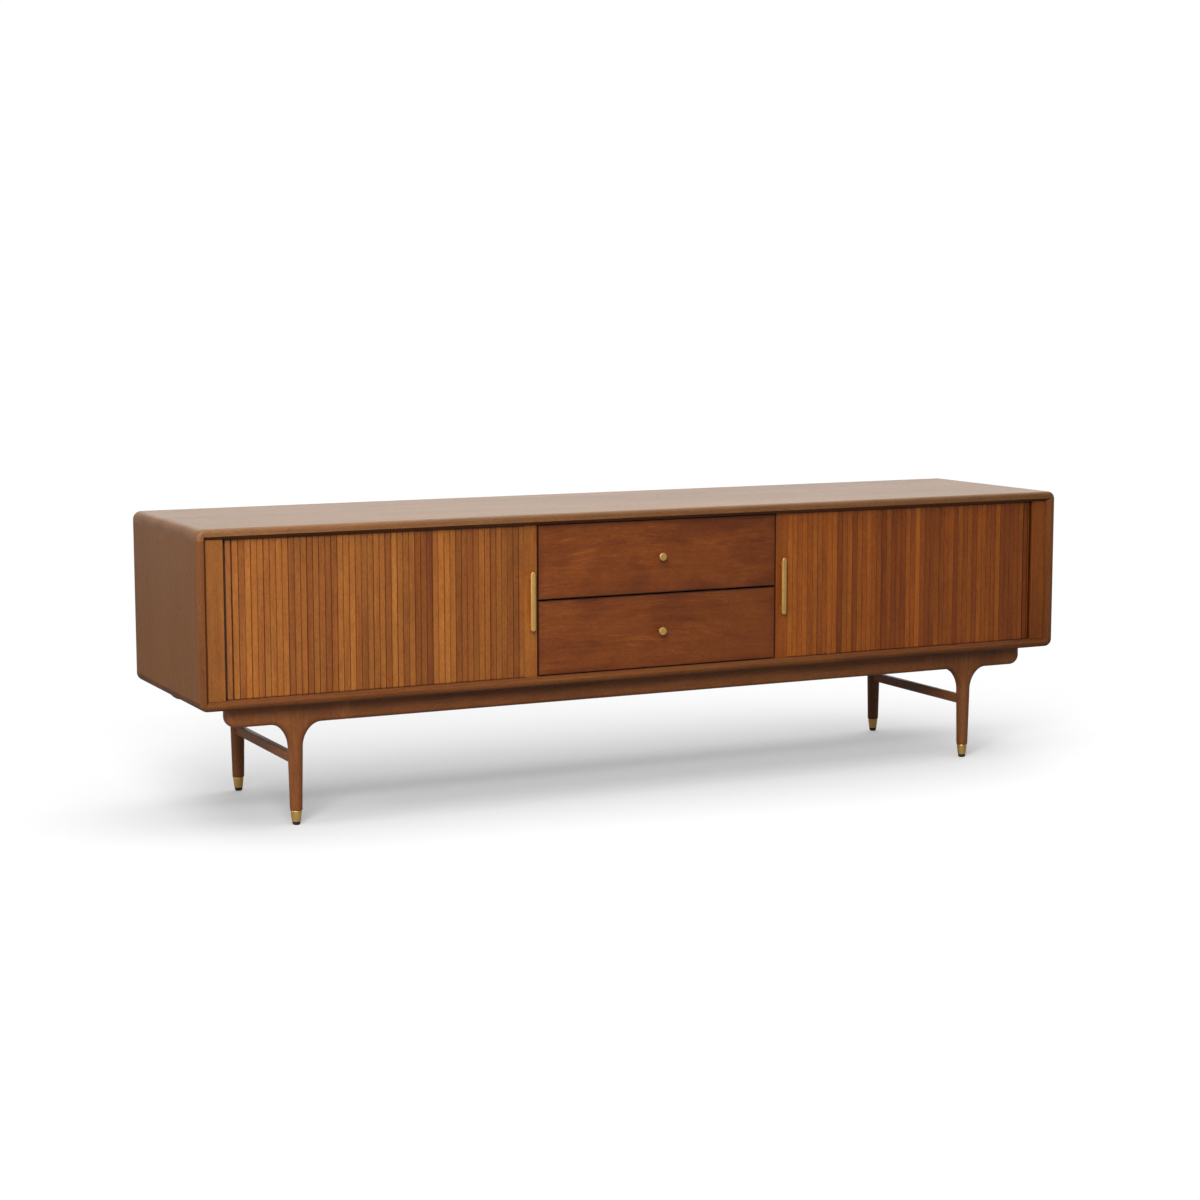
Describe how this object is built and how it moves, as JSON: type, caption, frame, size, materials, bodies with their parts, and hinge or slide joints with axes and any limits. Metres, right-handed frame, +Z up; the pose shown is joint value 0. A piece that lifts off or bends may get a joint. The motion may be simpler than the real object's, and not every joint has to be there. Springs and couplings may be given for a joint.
{
  "type": "media cabinet",
  "caption": "Long low wooden media cabinet with rolling slatted doors at both ends, drawers in the middle, bar handles, small knobs, and a rail base on turned legs with metal ferrules.",
  "frame": {"origin": "on the floor, under the middle of the case", "axes": "+X to the right along the length of the cabinet, +Y to the back, +Z up; the doors and drawers face -Y"},
  "size_m": [2, 0.45, 0.6],
  "materials": {
    "case_wood": "satin stained hardwood",
    "slat_wood": "satin stained hardwood, varied from slat to slat",
    "drawer_wood": "satin stained hardwood with horizontal figure",
    "drawer_box": "clear lacquered birch plywood",
    "back_ply": "stained veneered plywood",
    "beech": "raw beech",
    "brass": "satin brushed brass",
    "steel": "zinc-plated steel",
    "black_plastic": "matt dark plastic",
    "canvas": "cotton canvas glued to the back of the slats"
  },
  "bodies": {
    "case": {"top_panel": "case_wood", "bottom_panel": "case_wood", "left_side_panel": "case_wood", "right_side_panel": "case_wood", "dowels": "beech", "left_divider": "case_wood", "right_divider": "case_wood", "back_panel": "back_ply", "back_panel_screws": "steel", "left_end_panel": "case_wood", "right_end_panel": "case_wood", "left_side_liner": "back_ply", "right_side_liner": "back_ply", "left_back_liner": "back_ply", "right_back_liner": "back_ply", "left_shelf": "case_wood", "right_shelf": "case_wood", "shelf_pins": "steel", "cable_grommets": "black_plastic", "front_rail": "case_wood", "rear_rail": "case_wood", "front_left_leg": "case_wood", "front_right_leg": "case_wood", "rear_left_leg": "case_wood", "rear_right_leg": "case_wood", "left_stretcher": "case_wood", "right_stretcher": "case_wood", "ferrules": "brass", "glides": "black_plastic", "base_screws": "steel", "slide_outer_members": "steel"},
    "upper_drawer": {"upper_drawer_front": "drawer_wood", "upper_drawer_left_side": "drawer_box", "upper_drawer_right_side": "drawer_box", "upper_drawer_back": "drawer_box", "upper_drawer_bottom": "drawer_box", "upper_knob": "brass", "upper_knob_screw": "steel", "upper_slide_inner_members": "steel"},
    "upper_slides": {"upper_slide_middle_members": "steel"},
    "lower_drawer": {"lower_drawer_front": "drawer_wood", "lower_drawer_left_side": "drawer_box", "lower_drawer_right_side": "drawer_box", "lower_drawer_back": "drawer_box", "lower_drawer_bottom": "drawer_box", "lower_knob": "brass", "lower_knob_screw": "steel", "lower_slide_inner_members": "steel"},
    "lower_slides": {"lower_slide_middle_members": "steel"},
    "left_door": {"left_lead_stile": "slat_wood", "left_slats": "slat_wood", "left_canvas": "canvas", "left_handle": "brass", "left_handle_screws": "steel"},
    "right_door": {"right_lead_stile": "slat_wood", "right_slats": "slat_wood", "right_canvas": "canvas", "right_handle": "brass", "right_handle_screws": "steel"}
  },
  "joints": [
    {"name": "left_door_slide", "type": "slide", "parent": "case", "child": "left_door", "axis": [-1, 0, 0], "range_m": [0, 0.615], "deforming": ["left_slats", "left_canvas"]},
    {"name": "right_door_slide", "type": "slide", "parent": "case", "child": "right_door", "axis": [1, 0, 0], "range_m": [0, 0.615], "deforming": ["right_slats", "right_canvas"]},
    {"name": "upper_drawer_slide", "type": "slide", "parent": "case", "child": "upper_drawer", "axis": [0, -1, 0], "range_m": [0, 0.33]},
    {"name": "upper_slide_middle", "type": "slide", "parent": "case", "child": "upper_slides", "axis": [0, -1, 0], "range_m": [0, 0.165]},
    {"name": "lower_drawer_slide", "type": "slide", "parent": "case", "child": "lower_drawer", "axis": [0, -1, 0], "range_m": [0, 0.33]},
    {"name": "lower_slide_middle", "type": "slide", "parent": "case", "child": "lower_slides", "axis": [0, -1, 0], "range_m": [0, 0.165]}
  ],
  "couplings": [
    {"joint": "upper_slide_middle", "follows": "upper_drawer_slide", "ratio": 0.5},
    {"joint": "lower_slide_middle", "follows": "lower_drawer_slide", "ratio": 0.5}
  ]
}
